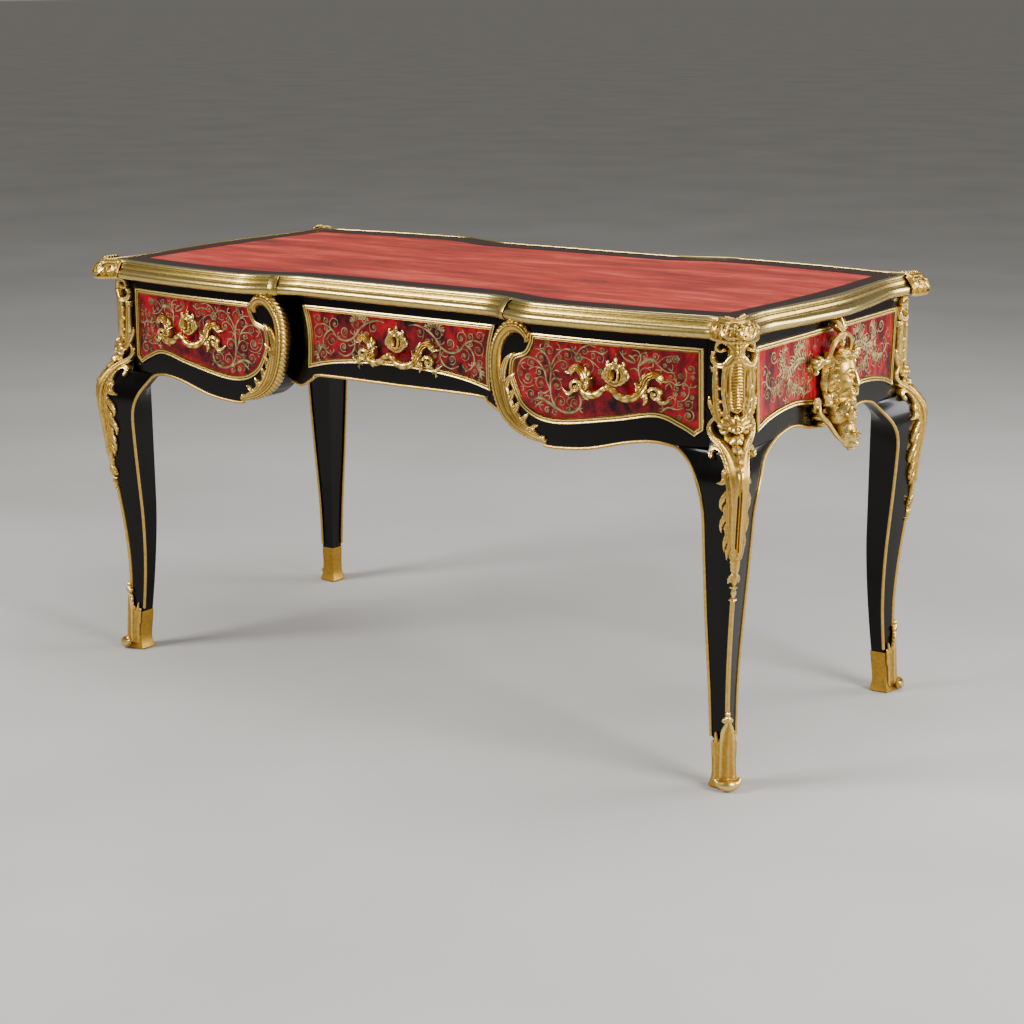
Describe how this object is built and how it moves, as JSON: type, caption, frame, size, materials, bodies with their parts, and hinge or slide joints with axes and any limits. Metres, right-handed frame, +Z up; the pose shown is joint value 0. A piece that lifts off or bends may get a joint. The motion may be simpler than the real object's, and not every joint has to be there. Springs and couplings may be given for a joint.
{
  "type": "writing desk",
  "caption": "Serpentine writing desk on cabriole legs, with a velvet top, sliding drawers in an inlaid tortoiseshell frieze, and gilt bronze mounts.",
  "frame": {"origin": "on the floor, under the middle of the desk", "axes": "+X along the width towards the right-hand end, +Y from the drawer front towards the back, +Z up"},
  "size_m": [1.4892, 0.73, 0.7872],
  "materials": {
    "gilt_bronze": "cast, chased and fire-gilt, satin with burnished ridges",
    "ebonised_wood": "black-stained and French-polished",
    "tortoiseshell_marquetry": "red tortoiseshell veneer inlaid with brass, polished",
    "velvet": "worn coral red silk velvet",
    "oak": "planed and waxed",
    "iron": "filed and oiled"
  },
  "bodies": {
    "desk": {"top_board": "ebonised_wood", "velvet_inset": "velvet", "edge_moulding": "gilt_bronze", "moulding_collars": "gilt_bronze", "corner_clasps": "gilt_bronze", "leg_front_left": "ebonised_wood", "leg_front_right": "ebonised_wood", "leg_back_left": "ebonised_wood", "leg_back_right": "ebonised_wood", "front_apron": "ebonised_wood", "back_apron": "ebonised_wood", "end_rail_left": "ebonised_wood", "end_rail_right": "ebonised_wood", "drawer_dividers": "oak", "drawer_runners": "oak", "marquetry_ends": "tortoiseshell_marquetry", "panel_frames_ends": "gilt_bronze", "marquetry_back": "tortoiseshell_marquetry", "panel_frames_back": "gilt_bronze", "handles_back": "gilt_bronze", "escutcheons_back": "gilt_bronze", "fillets_front": "gilt_bronze", "fillets_back": "gilt_bronze", "fillets_ends": "gilt_bronze", "corner_mount_front_left": "gilt_bronze", "corner_mount_front_right": "gilt_bronze", "corner_mount_back_left": "gilt_bronze", "corner_mount_back_right": "gilt_bronze", "arris_strips": "gilt_bronze", "sabots": "gilt_bronze", "scroll_mounts_front": "gilt_bronze", "scroll_mounts_back": "gilt_bronze", "mask_mount_left": "gilt_bronze", "mask_mount_right": "gilt_bronze"},
    "drawer_left": {"drawer_front_left": "ebonised_wood", "drawer_box_left": "oak", "marquetry_left": "tortoiseshell_marquetry", "panel_frame_left": "gilt_bronze", "handle_left": "gilt_bronze", "escutcheon_left": "gilt_bronze", "lock_left": "iron"},
    "drawer_middle": {"drawer_front_middle": "ebonised_wood", "drawer_box_middle": "oak", "marquetry_middle": "tortoiseshell_marquetry", "panel_frame_middle": "gilt_bronze", "handle_middle": "gilt_bronze", "escutcheon_middle": "gilt_bronze", "lock_middle": "iron"},
    "drawer_right": {"drawer_front_right": "ebonised_wood", "drawer_box_right": "oak", "marquetry_right": "tortoiseshell_marquetry", "panel_frame_right": "gilt_bronze", "handle_right": "gilt_bronze", "escutcheon_right": "gilt_bronze", "lock_right": "iron"},
    "bolt_left": {"lock_bolt_left": "iron"},
    "bolt_middle": {"lock_bolt_middle": "iron"},
    "bolt_right": {"lock_bolt_right": "iron"}
  },
  "joints": [
    {"name": "drawer_left_slide", "type": "slide", "parent": "desk", "child": "drawer_left", "axis": [0, -1, 0], "range_m": [0, 0.32]},
    {"name": "drawer_middle_slide", "type": "slide", "parent": "desk", "child": "drawer_middle", "axis": [0, -1, 0], "range_m": [0, 0.32]},
    {"name": "drawer_right_slide", "type": "slide", "parent": "desk", "child": "drawer_right", "axis": [0, -1, 0], "range_m": [0, 0.32]},
    {"name": "bolt_left_throw", "type": "slide", "parent": "drawer_left", "child": "bolt_left", "axis": [0, 0, 1], "range_m": [0, 0.009]},
    {"name": "bolt_middle_throw", "type": "slide", "parent": "drawer_middle", "child": "bolt_middle", "axis": [0, 0, 1], "range_m": [0, 0.009]},
    {"name": "bolt_right_throw", "type": "slide", "parent": "drawer_right", "child": "bolt_right", "axis": [0, 0, 1], "range_m": [0, 0.009]}
  ]
}
